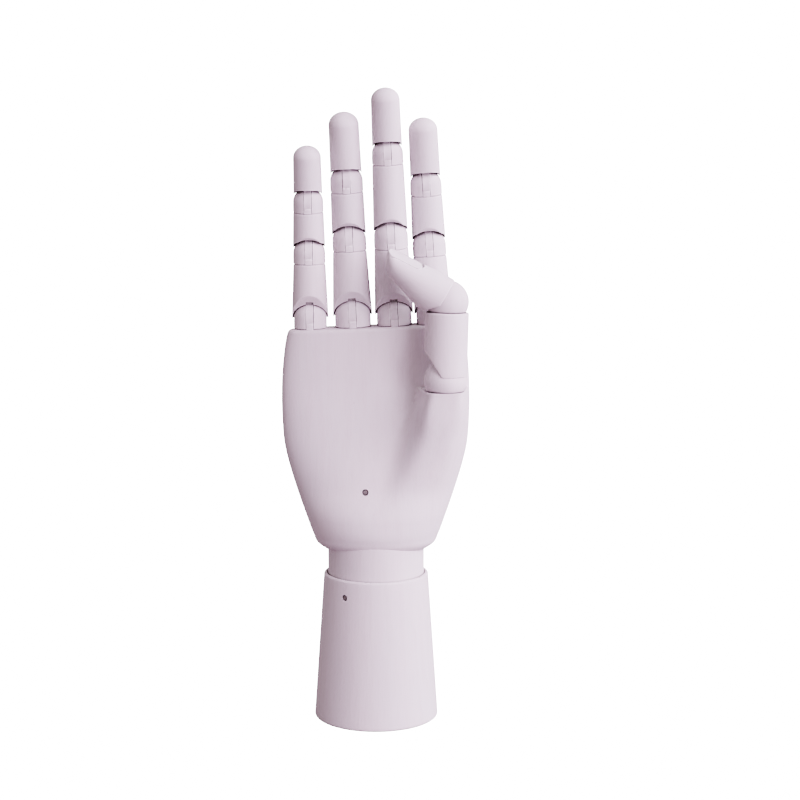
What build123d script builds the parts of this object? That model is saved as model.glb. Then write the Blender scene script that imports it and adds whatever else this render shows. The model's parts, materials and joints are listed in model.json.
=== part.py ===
from build123d import *

import os
from math import copysign, cos, exp, pi, radians, sin, sqrt

# Jointed wooden hand on a turned wrist base: a right hand, palm to the front (-Y),
# fingers up (+Z), thumb on the +X side. Lengths are millimetres, angles degrees.
# The origin is the centre of the base's underside.

quarter_turn = 90

# Base and wrist plug
base_height = 72.0
base_foot_radius = 30.4
base_top_radius = 25.4
base_rim_round = 1.4
base_foot_round = 1.2
collar_radius = 23.4
collar_gap = 0.4
collar_seat_depth = 4.0
plug_radius = 12.0
plug_running_gap = 0.08
plug_length = 30.0
plug_end_gap = 1.0
dowel_radius = 9.0
dowel_length = 36.0
dowel_end_gap = 0.5
plug_chamfer = 1.0
collar_into_palm = 6.0
groove_below_rim = 8.1
groove_width = 3.4
groove_depth = 2.4

# Nails
nail_hole_radius = 1.6
nail_head_radius = 1.05
nail_head_height = 0.9
nail_shank_radius = 0.85
nail_recess = 0.35
palm_nail_length = 20.0
palm_nail_height = 114.9
palm_nail_offset = -5.0
swivel_nail_turn = -35.4
groove_tip_gap = 0.5
nail_hole_overrun = 5.0

# Palm
palm_bottom = 84.0
palm_height = 108.4
palm_half_width = 45.2
palm_depth = 25.0
palm_top_tilt = 2.1
palm_edge_round = 1.6
palm_section_points = 72
spot_face_gap = 0.3
spot_face_height = 2.0

# Share of the palm's height, then of its half-width, front and back depth, and the
# superellipse power: round at the wrist, squarer towards the fingers
palm_shares = (
    (0.0, 0.535, 0.74, 0.90, 2.0),
    (0.028, 0.630, 0.904, 0.96, 2.0),
    (0.065, 0.673, 0.984, 0.96, 2.0),
    (0.148, 0.746, 1.0, 0.88, 2.1),
    (0.286, 0.858, 0.80, 0.74, 2.2),
    (0.374, 0.921, 0.715, 0.685, 2.3),
    (0.461, 0.971, 0.64, 0.64, 2.4),
    (0.609, 1.0, 0.54, 0.56, 2.6),
    (0.747, 1.0, 0.465, 0.50, 2.8),
    (0.867, 0.980, 0.448, 0.455, 3.0),
    (0.959, 0.951, 0.448, 0.428, 3.1),
    (1.042, 0.898, 0.448, 0.416, 3.2),
)

# Thumb mound, a swelling of the palm's front: height share of the palm's, then how far
# it stands out, its middle and its half-width as shares of the palm's half-width
mound_shares = (
    (0.148, 0.006, 0.376, 0.332),
    (0.286, 0.055, 0.487, 0.332),
    (0.374, 0.130, 0.555, 0.330),
    (0.461, 0.220, 0.612, 0.323),
    (0.609, 0.376, 0.690, 0.290),
)
mound_top_width_share = 0.262
mound_top_margin = 0.8
mound_front_sink = 0.4
mound_side_sink = 1.2
mound_side_fade_share = 0.4

# Hollow of the palm beside the thumb
hollow_x = 13.0
hollow_height = 169.0
hollow_half_width = 9.0
hollow_half_height = 15.0
hollow_depth = 3.4

# Finger joints: one kind of joint in sizes that follow the ball's radius
tongue_thickness = 3.4
slot_side_gap = 0.25
tongue_inset = 0.1
slot_floor_gap = 0.25
socket_gap = 0.5
tongue_grip = 4.0
pin_radius = 1.2
pin_length = 12.0
pin_running_gap = 0.05
seat_edge_round = 0.5
mortise_relief = 0.8
hinge_rise_share = 0.64
spigot_radius_share = 0.6
spigot_depth_share = 0.66
spigot_end_gap = 0.3
neck_width_share = 0.9

# How much wider each phalanx's mouth is than the ball it sits on
proximal_lip = 0.9
middle_lip = 0.1
distal_lip = -0.3
bevel_angles = (54.0, 50.0, 48.0)

# Ball radii, root to tip
little_root_ball = 7.9
little_middle_ball = 7.7
little_end_ball = 7.2
ring_root_ball = 8.6
ring_middle_ball = 8.1
ring_end_ball = 7.8
middle_root_ball = 8.4
middle_middle_ball = 8.1
middle_end_ball = 7.4
index_root_ball = 8.2
index_middle_ball = 8.0
index_end_ball = 7.5

# Segment lengths from hinge to hinge, and from the last hinge to the fingertip
little_proximal_length = 30.9
little_middle_length = 24.6
little_distal_length = 27.4
ring_proximal_length = 36.0
ring_middle_length = 28.1
ring_distal_length = 33.4
middle_proximal_length = 37.6
middle_middle_length = 39.0
middle_distal_length = 31.5
index_proximal_length = 32.4
index_middle_length = 28.8
index_distal_length = 32.4

# Where the fingers stand along the palm's top
little_seat_x = -31.2
ring_seat_x = -10.7
middle_seat_x = 9.1
index_seat_x = 27.9

# Fingertips
fingertip_radius_share = 0.91
fingertip_height_share = 0.86
round_handle_share = 0.5523

# Thumb
thumb_ball = 10.0
thumb_radius = 10.2
thumb_socket_gap = 0.55
thumb_seat_x = 32.6
thumb_seat_y = -22.5
thumb_seat_height = 163.8
thumb_proximal_length = 37.3
thumb_distal_length = 36.0
thumb_base_bend_angle = -1.5
thumb_bend_angle = 60.0
thumb_bevel_angles = (54.8, 40.0)
thumb_hinge_rise_share = 0.5

# Thumb nail, a flat planed into the back of the tip: its distance from the hinge, its
# height above it, half its width, its turn to the palm side and its fall to the tip
nail_bed_start = 17.7
nail_bed_height = 8.2
nail_bed_half_width = 4.4
nail_bed_turn_angle = 22.0
nail_bed_fall_angle = 5.0

# Share of the thumb tip's length, then of its radius: back, pad and half-width
thumb_tip_shares = (
    (0.0, 1.0, -1.0, 1.0),
    (0.17, 1.0, -0.98, 1.0),
    (0.33, 0.97, -0.92, 0.98),
    (0.44, 0.91, -0.82, 0.94),
    (0.54, 0.87, -0.70, 0.89),
    (0.64, 0.85, -0.59, 0.84),
    (0.74, 0.83, -0.49, 0.79),
    (0.82, 0.80, -0.38, 0.74),
    (0.88, 0.78, -0.24, 0.68),
    (0.93, 0.75, -0.03, 0.58),
    (0.96, 0.72, 0.16, 0.47),
    (0.985, 0.68, 0.36, 0.32),
    (1.0, 0.62, 0.52, 0.12),
)

# Leans to the little-finger side, and bends at rest from joint to joint, in degrees
little_lean_angle = 0.5
ring_lean_angle = 2.4
middle_lean_angle = 2.4
index_lean_angle = 3.5
little_bend_angles = (2.0, 6.0, 8.0)
ring_bend_angles = (1.0, 6.0, 9.0)
middle_bend_angles = (8.0, -2.0, 9.0)
index_bend_angles = (0.0, 6.0, 9.0)

# name: (seat place, lean, ball radii, lengths, bends)
fingers = {
    "little": (
        little_seat_x,
        little_lean_angle,
        (little_root_ball, little_middle_ball, little_end_ball),
        (little_proximal_length, little_middle_length, little_distal_length),
        little_bend_angles,
    ),
    "ring": (
        ring_seat_x,
        ring_lean_angle,
        (ring_root_ball, ring_middle_ball, ring_end_ball),
        (ring_proximal_length, ring_middle_length, ring_distal_length),
        ring_bend_angles,
    ),
    "middle": (
        middle_seat_x,
        middle_lean_angle,
        (middle_root_ball, middle_middle_ball, middle_end_ball),
        (middle_proximal_length, middle_middle_length, middle_distal_length),
        middle_bend_angles,
    ),
    "index": (
        index_seat_x,
        index_lean_angle,
        (index_root_ball, index_middle_ball, index_end_ball),
        (index_proximal_length, index_middle_length, index_distal_length),
        index_bend_angles,
    ),
}

palm_top = palm_bottom + palm_height
plug_shoulder = base_height - collar_seat_depth
groove_height = base_height - groove_below_rim
collar_top = palm_bottom + collar_into_palm
base_taper = (base_foot_radius - base_top_radius) / base_height
swivel_nail_face = base_foot_radius - base_taper * groove_height - nail_recess
swivel_nail_length = swivel_nail_face - plug_radius + groove_depth - groove_tip_gap

os.makedirs("parts", exist_ok=True)


def save(builder, name):
    """Labels a finished piece and writes it under its own name."""
    builder.part.label = name
    export_step(builder.part, f"parts/{name}.step")


def raised(plane, height):
    """The same plane, moved along its own normal."""
    return plane.offset(height)


def bent(plane, angle):
    """The plane turned about its own x axis, the hinge axis, towards the palm side."""
    turn = radians(angle)
    normal = plane.z_dir * cos(turn) - plane.y_dir * sin(turn)
    return Plane(plane.origin, x_dir=plane.x_dir, z_dir=normal)


def across(plane, distance=0):
    """The plane square to the hinge axis, with x to the back of the hand and y up."""
    return Plane(plane.origin, x_dir=plane.y_dir, z_dir=plane.x_dir).offset(distance)


def top_height(x):
    """Height of the palm's tilted top at a place across the hand."""
    return palm_top + x * sin(radians(palm_top_tilt))


def hinge_rise(ball, share):
    """Height of the hinge above the flat that carries the knuckle."""
    return ball * share


def cut_saw_slot(hinge, ball):
    """Cuts the slot that a saw of the tongue's radius leaves, centred on the hinge."""
    with Locations(hinge.location):
        Cylinder(
            ball + slot_floor_gap,
            tongue_thickness + 2 * slot_side_gap,
            rotation=(0, quarter_turn, 0),
            mode=Mode.SUBTRACT,
        )


def make_knuckle(name, seat, ball, rise, straight_sides=True):
    """A slotted ball-nosed block whose spigot is glued into the piece below it."""
    hinge = raised(seat, rise)
    with BuildPart() as block:
        if straight_sides:
            with BuildSketch(seat) as foot:
                Circle(ball)
            extrude(foot.sketch, amount=rise)
            with Locations(hinge.location):
                Sphere(ball, arc_size1=0, arc_size2=quarter_turn)
            with BuildSketch(across(hinge, -ball)) as side:
                Circle(ball)
            extrude(side.sketch, amount=2 * ball, mode=Mode.INTERSECT)
        else:
            with Locations(hinge.location):
                Sphere(ball)
            split(bisect_by=seat, keep=Keep.TOP)
        with BuildSketch(seat) as spigot:
            Circle(ball * spigot_radius_share)
        extrude(spigot.sketch, amount=-ball * spigot_depth_share)
        cut_saw_slot(hinge, ball)
        with BuildSketch(across(hinge, pin_length / 2)) as pin_end:
            Circle(pin_radius)
        extrude(pin_end.sketch, amount=-pin_length - ball, mode=Mode.SUBTRACT)
    save(block, name)
    return hinge


def make_pin(hinge):
    """The steel cross pin, centred on the hinge."""
    with BuildPart() as pin:
        with BuildSketch(across(hinge, -pin_length / 2)):
            Circle(pin_radius)
        extrude(amount=pin_length)
    return pin


def make_tongue(name, hinge, ball, gap):
    """A flat disc on the pin whose neck is glued into the phalanx above."""
    neck_width = ball * neck_width_share
    neck_top = ball + gap + tongue_grip
    with BuildPart() as tongue:
        with BuildSketch(across(hinge, -tongue_thickness / 2)):
            Circle(ball - tongue_inset)
            with Locations((0, neck_top / 2)):
                Rectangle(neck_width, neck_top)
            Circle(pin_radius + pin_running_gap, mode=Mode.SUBTRACT)
        extrude(amount=tongue_thickness)
    save(tongue, name)


def cut_socket(hinge, ball, gap, bevel):
    """Cuts the ball socket, the front bevel through the hinge and the tongue's mortise."""
    back = ball * neck_width_share / 2
    front = (ball + gap) * cos(radians(bevel)) + mortise_relief
    depth = ball + gap + tongue_grip
    with Locations(hinge.location):
        Sphere(ball + gap, mode=Mode.SUBTRACT)
        with Locations((0, (back - front) / 2, depth / 2)):
            Box(tongue_thickness, back + front, depth, mode=Mode.SUBTRACT)
    split(bisect_by=bent(hinge, -bevel), keep=Keep.TOP)


def cut_spigot_seat(seat, ball, rise):
    """Bores for the next knuckle's spigot and lets its tongue into the seat."""
    with BuildSketch(seat) as bore:
        Circle(ball * spigot_radius_share)
    depth = ball * spigot_depth_share + spigot_end_gap
    extrude(bore.sketch, amount=-depth, mode=Mode.SUBTRACT)
    cut_saw_slot(raised(seat, rise), ball)


def make_phalanx(name, hinge, ball, lip, length, next_ball, bevel):
    """A turned segment with the socket below and the next knuckle's seat on top."""
    rise = hinge_rise(next_ball, hinge_rise_share)
    height = length - rise
    seat = raised(hinge, height)
    with BuildPart() as phalanx:
        with BuildSketch(hinge):
            Circle(ball + lip)
        with BuildSketch(seat):
            Circle(next_ball)
        loft()
        fillet(phalanx.edges().sort_by(Axis.Z)[-1], seat_edge_round)
        cut_socket(hinge, ball, socket_gap, bevel)
        cut_spigot_seat(seat, next_ball, rise)
    save(phalanx, name)
    return seat


def make_fingertip(name, hinge, ball, length, bevel):
    """The last segment, tapering to a round tip, with the socket below."""
    mouth = ball + distal_lip
    tip = ball * fingertip_radius_share
    dome = tip * fingertip_height_share
    profile_plane = Plane(hinge.origin, x_dir=hinge.x_dir, z_dir=-hinge.y_dir)
    with BuildPart() as fingertip:
        with BuildSketch(profile_plane):
            with BuildLine():
                Polyline((0, length), (0, 0), (mouth, 0), (tip, length - dome))
                shoulder = length - dome
                Bezier(
                    (tip, shoulder),
                    (tip, shoulder + dome * round_handle_share),
                    (tip * round_handle_share, length),
                    (0, length),
                )
            make_face()
        revolve(axis=Axis(hinge.origin, hinge.z_dir))
        cut_socket(hinge, ball, socket_gap, bevel)
    save(fingertip, name)


def make_finger(name, seat_x, lean, balls, lengths, bends):
    """Builds one finger up from its seat on the palm."""
    tilt = radians(lean)
    seat = Plane(
        (seat_x, 0, top_height(seat_x)),
        x_dir=(cos(tilt), 0, sin(tilt)),
        z_dir=(-sin(tilt), 0, cos(tilt)),
    )
    root_seat = seat
    lips = (proximal_lip, middle_lip, distal_lip)
    segment_names = ("proximal", "middle", "distal")
    for i in range(3):
        ball = balls[i]
        hinge = make_knuckle(f"{name}_knuckle_{i + 1}", seat, ball, hinge_rise(ball, hinge_rise_share))
        hinge = bent(hinge, bends[i])
        make_tongue(f"{name}_tongue_{i + 1}", hinge, ball, socket_gap)
        hinges[f"{name}_{i + 1}"] = hinge
        if i > 0:
            save(make_pin(hinge), f"{name}_pin_{i + 1}")
        segment = f"{name}_{segment_names[i]}"
        if i < 2:
            seat = make_phalanx(
                segment, hinge, ball, lips[i], lengths[i], balls[i + 1], bevel_angles[i]
            )
        else:
            make_fingertip(segment, hinge, ball, lengths[i], bevel_angles[i])
    return root_seat


def palm_row(height):
    """The palm's shares at a height, between the rows given above."""
    share = (height - palm_bottom) / palm_height
    for low, high in zip(palm_shares, palm_shares[1:]):
        if low[0] <= share <= high[0]:
            part_way = (share - low[0]) / (high[0] - low[0])
            return [a + part_way * (b - a) for a, b in zip(low, high)]
    raise ValueError("height is outside the palm")


def front_depth(x, row):
    """Depth of the palm's plain front at a place across the hand, at one row's height."""
    _, width_share, front_share, _, power = row
    across_hand = min(1, abs(x) / (palm_half_width * width_share))
    return palm_depth * front_share * (1 - across_hand**power) ** (1 / power)


def palm_section(row, mound=None):
    """One level of the palm: a superellipse with its own front and back depth.

    The hollow is taken out of its front. With a mound, which is how far it stands out,
    its middle and its half-width, the level belongs to the mound: its sides and back are
    sunk, and its front swells."""
    share, width_share, front_share, back_share, power = row
    height = palm_bottom + palm_height * share
    front_sink = mound_front_sink if mound else 0
    side_sink = mound_side_sink if mound else 0
    points = []
    for step in range(palm_section_points):
        turn = 2 * pi * step / palm_section_points
        across_hand = copysign(abs(cos(turn)) ** (2 / power), cos(turn))
        through_hand = copysign(abs(sin(turn)) ** (2 / power), sin(turn))
        x = (palm_half_width * width_share - side_sink) * across_hand
        y = (palm_depth * back_share - side_sink) * through_hand
        if through_hand < 0:
            y = (palm_depth * front_share - front_sink) * through_hand
            fade = min(1, -through_hand / mound_side_fade_share)
            fade = fade * fade * (3 - 2 * fade)
            beside = (x - hollow_x) / hollow_half_width
            above = (height - hollow_height) / hollow_half_height
            y += fade * hollow_depth * exp(-beside * beside - above * above)
            if mound:
                out, middle, half_width = mound
                y -= fade * out * exp(-(((x - middle) / half_width) ** 4))
        points.append((x, y))
    with BuildSketch(Plane.XY.offset(height)) as section:
        with BuildLine():
            Spline(*points, periodic=True)
        make_face()
    return section.sketch


def mound_sections():
    """The levels of the mound, up to the flat that the thumb stands on."""
    sections = []
    for share, out, middle, half_width in mound_shares:
        row = palm_row(palm_bottom + palm_height * share)
        mound = [palm_half_width * value for value in (out, middle, half_width)]
        sections.append(palm_section(row, mound))
    rise = hinge_rise(thumb_ball, thumb_hinge_rise_share)
    foot_radius = sqrt(thumb_ball**2 - rise**2)
    row = palm_row(thumb_seat_height)
    out = foot_radius + mound_top_margin - thumb_seat_y - front_depth(thumb_seat_x, row)
    mound = (out, thumb_seat_x, palm_half_width * mound_top_width_share)
    sections.append(palm_section(row, mound))
    return sections


def nail_plane(outside, length):
    """The plane of a nail's tip, from the plane of its outer face."""
    return outside.offset(-length)


def add_nail(outside, length, mode):
    """A round-headed nail driven in along the plane's normal, or its hole."""
    with BuildSketch(nail_plane(outside, length)) as shank:
        Circle(nail_shank_radius)
    extrude(shank.sketch, amount=length, mode=mode)
    driven = mode == Mode.ADD
    with BuildSketch(outside.offset(-nail_head_height)) as head:
        Circle(nail_head_radius if driven else nail_hole_radius)
    extra = nail_head_height if driven else nail_head_height + nail_hole_overrun
    extrude(head.sketch, amount=extra, mode=mode)


def make_base(nail):
    """The turned base: a tapered post, bored for the plug and sunk for its collar."""
    bore_radius = plug_radius + plug_running_gap
    seat_radius = collar_radius + collar_gap
    bore_floor = plug_shoulder - plug_length - plug_end_gap
    with BuildPart() as base:
        with BuildSketch(Plane.XZ):
            with BuildLine():
                Polyline(
                    (0, 0),
                    (base_foot_radius, 0),
                    (base_top_radius, base_height),
                    (seat_radius, base_height),
                    (seat_radius, plug_shoulder),
                    (bore_radius, plug_shoulder),
                    (bore_radius, bore_floor),
                    (0, bore_floor),
                    (0, 0),
                )
            make_face()
        revolve(axis=Axis.Z)
        fillet(base.edges().group_by(Axis.Z)[0], base_foot_round)
        rim = base.edges().group_by(Axis.Z)[-1].sort_by(SortBy.RADIUS)[-1]
        fillet(rim, base_rim_round)
        add_nail(nail, swivel_nail_length, Mode.SUBTRACT)
    save(base, "wrist_base")


def make_plug(palm_nail):
    """The plug that turns in the base: spigot, nail groove, collar and glued dowel."""
    spigot_end = plug_shoulder - plug_length
    groove_floor = plug_radius - groove_depth
    groove_low = groove_height - groove_width / 2
    groove_high = groove_height + groove_width / 2
    with BuildPart() as plug:
        with BuildSketch(Plane.XZ):
            with BuildLine():
                Polyline(
                    (0, spigot_end),
                    (plug_radius - plug_chamfer, spigot_end),
                    (plug_radius, spigot_end + plug_chamfer),
                    (plug_radius, groove_low),
                    (groove_floor, groove_low),
                    (groove_floor, groove_high),
                    (plug_radius, groove_high),
                    (plug_radius, plug_shoulder),
                    (collar_radius, plug_shoulder),
                    (collar_radius, collar_top),
                    (dowel_radius, collar_top),
                    (dowel_radius, collar_top + dowel_length - plug_chamfer),
                    (dowel_radius - plug_chamfer, collar_top + dowel_length),
                    (0, collar_top + dowel_length),
                    (0, spigot_end),
                )
            make_face()
        revolve(axis=Axis.Z)
        add_nail(palm_nail, palm_nail_length, Mode.SUBTRACT)
    save(plug, "wrist_plug")


def make_palm(root_seats, thumb_seat, nail):
    """The palm block with its thumb mound, bored for every knuckle and for the plug."""
    top = Plane(
        (0, 0, palm_top),
        x_dir=(cos(radians(palm_top_tilt)), 0, sin(radians(palm_top_tilt))),
        z_dir=(-sin(radians(palm_top_tilt)), 0, cos(radians(palm_top_tilt))),
    )
    with BuildPart() as palm:
        loft(sections=[palm_section(row) for row in palm_shares])
        split(bisect_by=top, keep=Keep.BOTTOM)
        fillet(palm.edges().group_by(Axis.Z)[-1], palm_edge_round)
        loft(sections=mound_sections())
        with BuildSketch(Plane.XY.offset(palm_bottom)) as counterbore:
            Circle(collar_radius)
        extrude(counterbore.sketch, amount=collar_into_palm, mode=Mode.SUBTRACT)
        with BuildSketch(Plane.XY.offset(collar_top)) as dowel_bore:
            Circle(dowel_radius)
        extrude(dowel_bore.sketch, amount=dowel_length + dowel_end_gap, mode=Mode.SUBTRACT)
        for finger, seat in root_seats.items():
            ball = fingers[finger][2][0]
            with BuildSketch(seat) as spot_face:
                Circle(ball + spot_face_gap)
            extrude(spot_face.sketch, amount=spot_face_height, mode=Mode.SUBTRACT)
            cut_spigot_seat(seat, ball, hinge_rise(ball, hinge_rise_share))
        cut_spigot_seat(thumb_seat, thumb_ball, hinge_rise(thumb_ball, thumb_hinge_rise_share))
        add_nail(nail, palm_nail_length, Mode.SUBTRACT)
    save(palm, "palm")


def nail_bed_plane(hinge):
    """The plane of the thumb's nail, with its origin at the cuticle and x to the tip."""
    turn = radians(nail_bed_turn_angle)
    fall = radians(nail_bed_fall_angle)
    outwards = hinge.y_dir * cos(turn) + hinge.x_dir * sin(turn)
    return Plane(
        hinge.origin + hinge.z_dir * nail_bed_start + outwards * nail_bed_height,
        x_dir=hinge.z_dir * cos(fall) - outwards * sin(fall),
        z_dir=outwards * cos(fall) + hinge.z_dir * sin(fall),
    )


def make_thumb_tip(name, hinge):
    """The thumb's last segment: round at the joint, flattened to a pad and a nail."""
    levels = []
    for share, back_share, pad_share, width_share in thumb_tip_shares:
        with BuildSketch(raised(hinge, thumb_distal_length * share)) as level:
            with Locations((0, thumb_radius * (back_share + pad_share) / 2)):
                Ellipse(thumb_radius * width_share, thumb_radius * (back_share - pad_share) / 2)
        levels.append(level.sketch)
    with BuildPart() as tip:
        loft(sections=levels, ruled=True)
        with BuildSketch(nail_bed_plane(hinge)) as nail_bed:
            with Locations((nail_bed_half_width, 0)):
                Circle(nail_bed_half_width)
            with Locations((nail_bed_half_width + thumb_distal_length / 2, 0)):
                Rectangle(thumb_distal_length, 2 * nail_bed_half_width)
        extrude(nail_bed.sketch, amount=nail_bed_half_width, mode=Mode.SUBTRACT)
        cut_socket(hinge, thumb_ball, thumb_socket_gap, thumb_bevel_angles[1])
    save(tip, name)


def make_thumb(seat):
    """Builds the two-jointed thumb up from its seat on the mound."""
    rise = hinge_rise(thumb_ball, thumb_hinge_rise_share)
    hinge = make_knuckle("thumb_knuckle_1", seat, thumb_ball, rise, straight_sides=False)
    save(make_pin(hinge), "thumb_pin_1")
    hinge = bent(hinge, thumb_base_bend_angle)
    hinges["thumb_1"] = hinge
    make_tongue("thumb_tongue_1", hinge, thumb_ball, thumb_socket_gap)
    next_seat = raised(hinge, thumb_proximal_length - rise)
    with BuildPart() as proximal:
        with BuildSketch(hinge):
            Circle(thumb_radius)
        extrude(amount=thumb_proximal_length - rise)
        fillet(proximal.edges().sort_by(Axis.Z)[-1], seat_edge_round)
        cut_socket(hinge, thumb_ball, thumb_socket_gap, thumb_bevel_angles[0])
        cut_spigot_seat(next_seat, thumb_ball, rise)
    save(proximal, "thumb_proximal")
    hinge = make_knuckle("thumb_knuckle_2", next_seat, thumb_ball, rise, straight_sides=False)
    save(make_pin(hinge), "thumb_pin_2")
    hinge = bent(hinge, thumb_bend_angle)
    hinges["thumb_2"] = hinge
    make_tongue("thumb_tongue_2", hinge, thumb_ball, thumb_socket_gap)
    make_thumb_tip("thumb_distal", hinge)


hinges = {}
root_seats = {}
for finger, (seat_x, lean, balls, lengths, bends) in fingers.items():
    root_seats[finger] = make_finger(finger, seat_x, lean, balls, lengths, bends)

with BuildPart() as finger_root_pins:
    for finger in fingers:
        with BuildSketch(across(hinges[f"{finger}_1"], -pin_length / 2)) as pin_end:
            Circle(pin_radius)
        extrude(pin_end.sketch, amount=pin_length)
save(finger_root_pins, "finger_root_pins")

thumb_seat = Plane((thumb_seat_x, thumb_seat_y, thumb_seat_height), x_dir=(0, -1, 0), z_dir=(0, 0, 1))
make_thumb(thumb_seat)

nail_way = Vector(sin(radians(swivel_nail_turn)), -cos(radians(swivel_nail_turn)), 0)
swivel_nail_plane = Plane(nail_way * swivel_nail_face + Vector(0, 0, groove_height), z_dir=nail_way)
palm_nail_face = front_depth(palm_nail_offset, palm_row(palm_nail_height)) - nail_recess
palm_nail_plane = Plane((palm_nail_offset, -palm_nail_face, palm_nail_height), z_dir=(0, -1, 0))

with BuildPart() as swivel_nail:
    add_nail(swivel_nail_plane, swivel_nail_length, Mode.ADD)
save(swivel_nail, "swivel_nail")

with BuildPart() as palm_nail:
    add_nail(palm_nail_plane, palm_nail_length, Mode.ADD)
save(palm_nail, "palm_nail")

make_base(swivel_nail_plane)
make_plug(palm_nail_plane)
make_palm(root_seats, thumb_seat, palm_nail_plane)

for name, hinge in hinges.items():
    place = ", ".join(f"{value:.3f}" for value in hinge.origin)
    axis = ", ".join(f"{value:.6f}" for value in hinge.x_dir)
    print(f"{name}: hinge at ({place}) along ({axis})")
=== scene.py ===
import json
from math import cos, pi, radians, sin, sqrt

import bpy
import numpy as np
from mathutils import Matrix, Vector


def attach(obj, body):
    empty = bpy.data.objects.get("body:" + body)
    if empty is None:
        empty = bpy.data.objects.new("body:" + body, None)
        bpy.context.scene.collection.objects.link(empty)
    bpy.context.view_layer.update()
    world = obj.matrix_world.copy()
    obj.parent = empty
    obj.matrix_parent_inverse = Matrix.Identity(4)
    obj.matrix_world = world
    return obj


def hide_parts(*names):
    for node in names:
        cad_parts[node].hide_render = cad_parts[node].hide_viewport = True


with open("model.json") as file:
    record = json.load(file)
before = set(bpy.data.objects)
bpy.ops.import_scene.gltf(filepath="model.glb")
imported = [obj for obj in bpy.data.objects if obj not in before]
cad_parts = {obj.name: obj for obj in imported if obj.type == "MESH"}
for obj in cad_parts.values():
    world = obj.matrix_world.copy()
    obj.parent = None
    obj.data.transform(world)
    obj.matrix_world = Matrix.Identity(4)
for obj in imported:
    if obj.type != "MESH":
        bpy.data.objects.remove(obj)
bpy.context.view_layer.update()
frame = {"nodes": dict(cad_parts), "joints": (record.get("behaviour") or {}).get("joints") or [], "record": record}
JOINTS = {joint["name"]: joint for joint in frame["joints"]}
BODY_OF = {
    node: body
    for body, nodes in frame["record"]["behaviour"]["bodies"].items()
    for node in nodes
}

# Shapes are worked out in millimetres and written to the meshes in metres
MM = 0.001

# Grid densities: points round a piece, and rows along it
ROUND = 96
WRIST_ROUND = 192
PALM_ROUND = 288
THUMB_ROUND = 160
DRILL_ROUND = 32
PALM_ROWS_BELOW = 133
PALM_ROWS_ABOVE = 47
THUMB_ROWS = 90
TIP_ROWS = 18
ARC_POINTS = 33

# An edge sharper than this, in degrees, stays sharp
SHARP_ANGLE = 32.0
# How far a cutter stands out of what it cuts
CUT_MARGIN = 1.0

# Base and wrist
BASE_HEIGHT = 72.0
BASE_FOOT_RADIUS = 30.38
BASE_TOP_RADIUS = 25.4
BASE_FOOT_ROUND = 1.2
BASE_RIM_ROUND = 0.9
COLLAR_RADIUS = 23.4
COLLAR_SEAT_RADIUS = 23.8
COLLAR_SEAT_DEPTH = 4.0
COLLAR_TOP = 90.0
PLUG_RADIUS = 12.0
PLUG_BORE_RADIUS = 12.08
PLUG_LENGTH = 30.0
PLUG_END_GAP = 1.0
PLUG_CHAMFER = 1.0
COLLAR_CHAMFER = 0.2
SEAT_CHAMFER = 0.25
GROOVE_HEIGHT = 63.9
GROOVE_WIDTH = 3.4
GROOVE_DEPTH = 2.4
DOWEL_RADIUS = 9.0
DOWEL_TOP = 126.0

# Nails
NAIL_HOLE_RADIUS = 1.6
NAIL_HOLE_DEPTH = 2.6
PALM_NAIL_HEIGHT = 114.9
PALM_NAIL_OFFSET = -5.0
PALM_NAIL_DEPTH = 17.0
BASE_NAIL_TURN = -35.4

# Nicks in the base's rim: degrees right of the front, and size
RIM_NICKS = (
    (-37.0, 0.5),
    (-11.9, 0.42),
    (-6.1, 0.34),
    (3.0, 0.22),
    (58.0, 0.4),
    (141.0, 0.5),
    (-118.0, 0.36),
)

# Palm
PALM_BOTTOM = 84.0
PALM_HEIGHT = 108.4
PALM_HALF_WIDTH = 45.2
PALM_DEPTH = 25.0
PALM_TOP_TILT = 2.1
PALM_EDGE_ROUND = 1.6
PALM_SKIN = 0.06
PALM_SIDE_CLEAR = 0.4
THUMB_SEAT_HEIGHT = 163.8

# Share of the palm's height, then of its half-width, front and back depth, and the
# superellipse power: round at the wrist, squarer towards the fingers
PALM_SHARES = np.array([
    (0.0, 0.535, 0.74, 0.90, 2.0),
    (0.028, 0.630, 0.904, 0.96, 2.0),
    (0.065, 0.673, 0.984, 0.96, 2.0),
    (0.148, 0.746, 1.0, 0.88, 2.1),
    (0.286, 0.858, 0.80, 0.74, 2.2),
    (0.374, 0.921, 0.715, 0.685, 2.3),
    (0.461, 0.971, 0.64, 0.64, 2.4),
    (0.609, 1.0, 0.54, 0.56, 2.6),
    (0.747, 1.0, 0.465, 0.50, 2.8),
    (0.867, 0.980, 0.448, 0.455, 3.0),
    (0.959, 0.951, 0.448, 0.428, 3.1),
    (1.042, 0.898, 0.448, 0.416, 3.2),
])

# Thumb mound: share of the palm's height, then how far it stands out of the front, its
# middle and its half-width, in millimetres
MOUND_LEVELS = np.array([
    (0.0, 0.0, 12.0, 15.0),
    (0.148, 0.3, 17.0, 15.0),
    (0.286, 2.5, 22.0, 15.0),
    (0.374, 5.9, 25.1, 14.9),
    (0.461, 9.9, 27.7, 14.6),
    (0.609, 17.0, 31.2, 13.1),
    (0.7362, 21.85, 32.6, 10.5),
])
# The mound's bell: its power low down, how much more it has at its top, and the height
# from which it gains
MOUND_POWER = 4.0
MOUND_TOP_POWER = 5.0
MOUND_CRISP_HEIGHT = 140.0
# The hollow beside the thumb: middle, reach and depth
HOLLOW_MIDDLE = (13.0, 169.0)
HOLLOW_REACH = (9.0, 15.0)
HOLLOW_DEPTH = 3.4

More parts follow.
